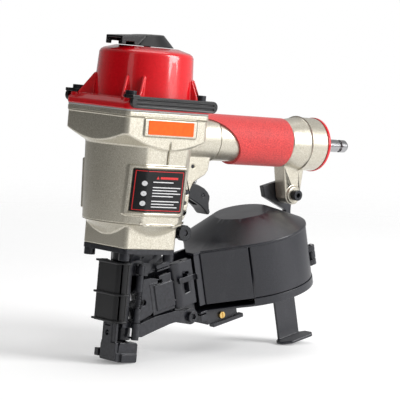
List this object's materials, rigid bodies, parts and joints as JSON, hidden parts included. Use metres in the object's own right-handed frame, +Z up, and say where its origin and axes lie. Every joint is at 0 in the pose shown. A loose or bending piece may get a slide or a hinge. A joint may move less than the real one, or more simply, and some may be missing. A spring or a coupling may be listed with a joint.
{
  "type": "coil roofing nailer",
  "caption": "Pneumatic coil roofing nailer: cast body with handle and red grip, red cap, round nail canister on a tilted magazine, nose with contact foot, trigger and shingle guide.",
  "frame": {"origin": "nail exit: on the driver axis at the bottom of the contact foot", "axes": "+Z up the driver axis towards the cap, +X back along the handle, -Y the tool's left side"},
  "size_m": [0.2858, 0.1088, 0.2755],
  "materials": {
    "body_paint": "warm champagne metallic lacquer over cast light alloy, satin",
    "cap_red": "glossy red lacquer over cast light alloy",
    "grip_rubber": "soft matt red rubber with a fine grain",
    "black_rubber": "matt black rubber",
    "black_plastic": "black plastic, slightly satin",
    "white_plastic": "off-white acetal",
    "black_paint": "satin black powder coat over light alloy",
    "black_oxide": "blackened steel, satin",
    "steel": "bare ground steel",
    "aluminium": "machined",
    "chrome": "plated",
    "brass": "machined",
    "orange_plate": "plain orange plate with no lettering",
    "black_plate": "plain black plate with no lettering",
    "gasket": "grey fibre gasket"
  },
  "bodies": {
    "frame": {"deflector_screw": "black_oxide", "cylinder_cap": "cap_red", "cap_screws": "black_oxide", "bumper_left": "black_rubber", "bumper_right": "black_rubber", "cap_gasket": "gasket", "head_valve_spring": "steel", "body_housing": "body_paint", "cylinder_sleeve": "aluminium", "sleeve_seal": "black_rubber", "piston_bumper": "black_rubber", "name_plate": "orange_plate", "info_plate": "black_plate", "handle_grip": "grip_rubber", "end_cap": "cap_red", "air_plug": "chrome", "trigger_pin": "black_oxide", "ear_pins": "black_oxide", "valve_body": "black_plastic", "valve_spring": "steel", "nose_casting": "black_oxide", "nose_screws": "black_oxide", "nose_cover": "black_rubber", "contact_spring": "steel", "door_hinge_pin": "black_oxide", "door_spring": "black_oxide", "latch_pin": "black_oxide", "boss_screw": "black_oxide", "feed_cylinder": "black_paint", "feed_cylinder_cap": "black_paint", "feed_spring": "steel", "canister_base": "black_paint", "cover_hinge_pin": "steel", "platform_post": "steel", "bracket_screw": "black_oxide", "bracket_nut": "black_oxide", "guide_bracket": "black_paint", "guide_screw": "brass"},
    "deflector": {"exhaust_deflector": "black_rubber"},
    "head_valve": {"head_valve": "white_plastic"},
    "piston": {"drive_piston": "aluminium", "piston_ring": "black_rubber", "driver_blade": "steel"},
    "trigger": {"trigger": "black_plastic", "tongue_pin": "black_oxide"},
    "tongue": {"trigger_tongue": "steel"},
    "valve_stem": {"valve_stem": "steel"},
    "contact_arm": {"contact_foot": "black_oxide", "contact_link": "black_oxide"},
    "depth_dial": {"depth_dial": "black_plastic"},
    "feed": {"feed_piston": "steel", "feed_pawl": "steel"},
    "feed_door": {"feed_door": "black_oxide"},
    "door_latch": {"door_latch": "black_oxide"},
    "canister_cover": {"canister_cover": "black_paint"},
    "platform": {"nail_platform": "black_plastic"},
    "shingle_guide": {"shingle_guide": "black_paint"}
  },
  "joints": [
    {"name": "deflector_turn", "type": "hinge", "parent": "frame", "child": "deflector", "pos_m": [0, 0, 0.27], "axis": [0, 0, 1], "continuous": true},
    {"name": "head_valve_lift", "type": "slide", "parent": "frame", "child": "head_valve", "axis": [0, 0, 1], "range_m": [0, 0.006], "stiffness_N_per_m": 2000, "springref_m": -0.01, "deforming": ["head_valve_spring"]},
    {"name": "piston_stroke", "type": "slide", "parent": "frame", "child": "piston", "axis": [0, 0, -1], "range_m": [0, 0.066]},
    {"name": "trigger_pull", "type": "hinge", "parent": "frame", "child": "trigger", "pos_m": [0.047, 0, 0.145], "axis": [0, -1, 0], "range_deg": [0, 12], "stiffness_Nm_per_rad": 0.5, "springref_deg": -17.19},
    {"name": "tongue_swing", "type": "hinge", "parent": "trigger", "child": "tongue", "pos_m": [0.0693, 0, 0.1427], "axis": [0, 1, 0], "range_deg": [0, 8], "stiffness_Nm_per_rad": 0.1, "springref_deg": -17.19},
    {"name": "stem_lift", "type": "slide", "parent": "frame", "child": "valve_stem", "axis": [0, 0, 1], "range_m": [0, 0.0036], "deforming": ["valve_spring"]},
    {"name": "contact_travel", "type": "slide", "parent": "frame", "child": "contact_arm", "axis": [0, 0, 1], "range_m": [0, 0.012], "stiffness_N_per_m": 900, "springref_m": -0.05, "deforming": ["contact_spring"]},
    {"name": "dial_turn", "type": "hinge", "parent": "contact_arm", "child": "depth_dial", "pos_m": [0.0545, -0.003, 0.1096], "axis": [0, 1, 0], "continuous": true},
    {"name": "feed_stroke", "type": "slide", "parent": "frame", "child": "feed", "axis": [0.96, 0, 0.2798], "range_m": [0, 0.008], "stiffness_N_per_m": 500, "springref_m": -0.03, "deforming": ["feed_spring"]},
    {"name": "door_swing", "type": "hinge", "parent": "frame", "child": "feed_door", "pos_m": [0.0015, -0.016, 0.053], "axis": [0, 0, -1], "range_deg": [0, 110]},
    {"name": "latch_turn", "type": "hinge", "parent": "frame", "child": "door_latch", "pos_m": [0.05229, -0.0114, 0.06961], "axis": [-0.2798, 0, 0.96], "range_deg": [0, 12], "stiffness_Nm_per_rad": 0.3, "springref_deg": -17.19},
    {"name": "cover_swing", "type": "hinge", "parent": "frame", "child": "canister_cover", "pos_m": [0.18049, -0.0285, 0.10281], "axis": [-0.2798, 0, 0.96], "range_deg": [0, 100]},
    {"name": "platform_height", "type": "slide", "parent": "frame", "child": "platform", "axis": [-0.2798, 0, 0.96], "range_m": [0, 0.012]},
    {"name": "guide_adjust", "type": "slide", "parent": "frame", "child": "shingle_guide", "axis": [0.96, 0, 0.2798], "range_m": [-0.01, 0.012]}
  ],
  "couplings": [
    {"joint": "stem_lift", "follows": "trigger_pull", "m_per_rad": 0.017}
  ]
}
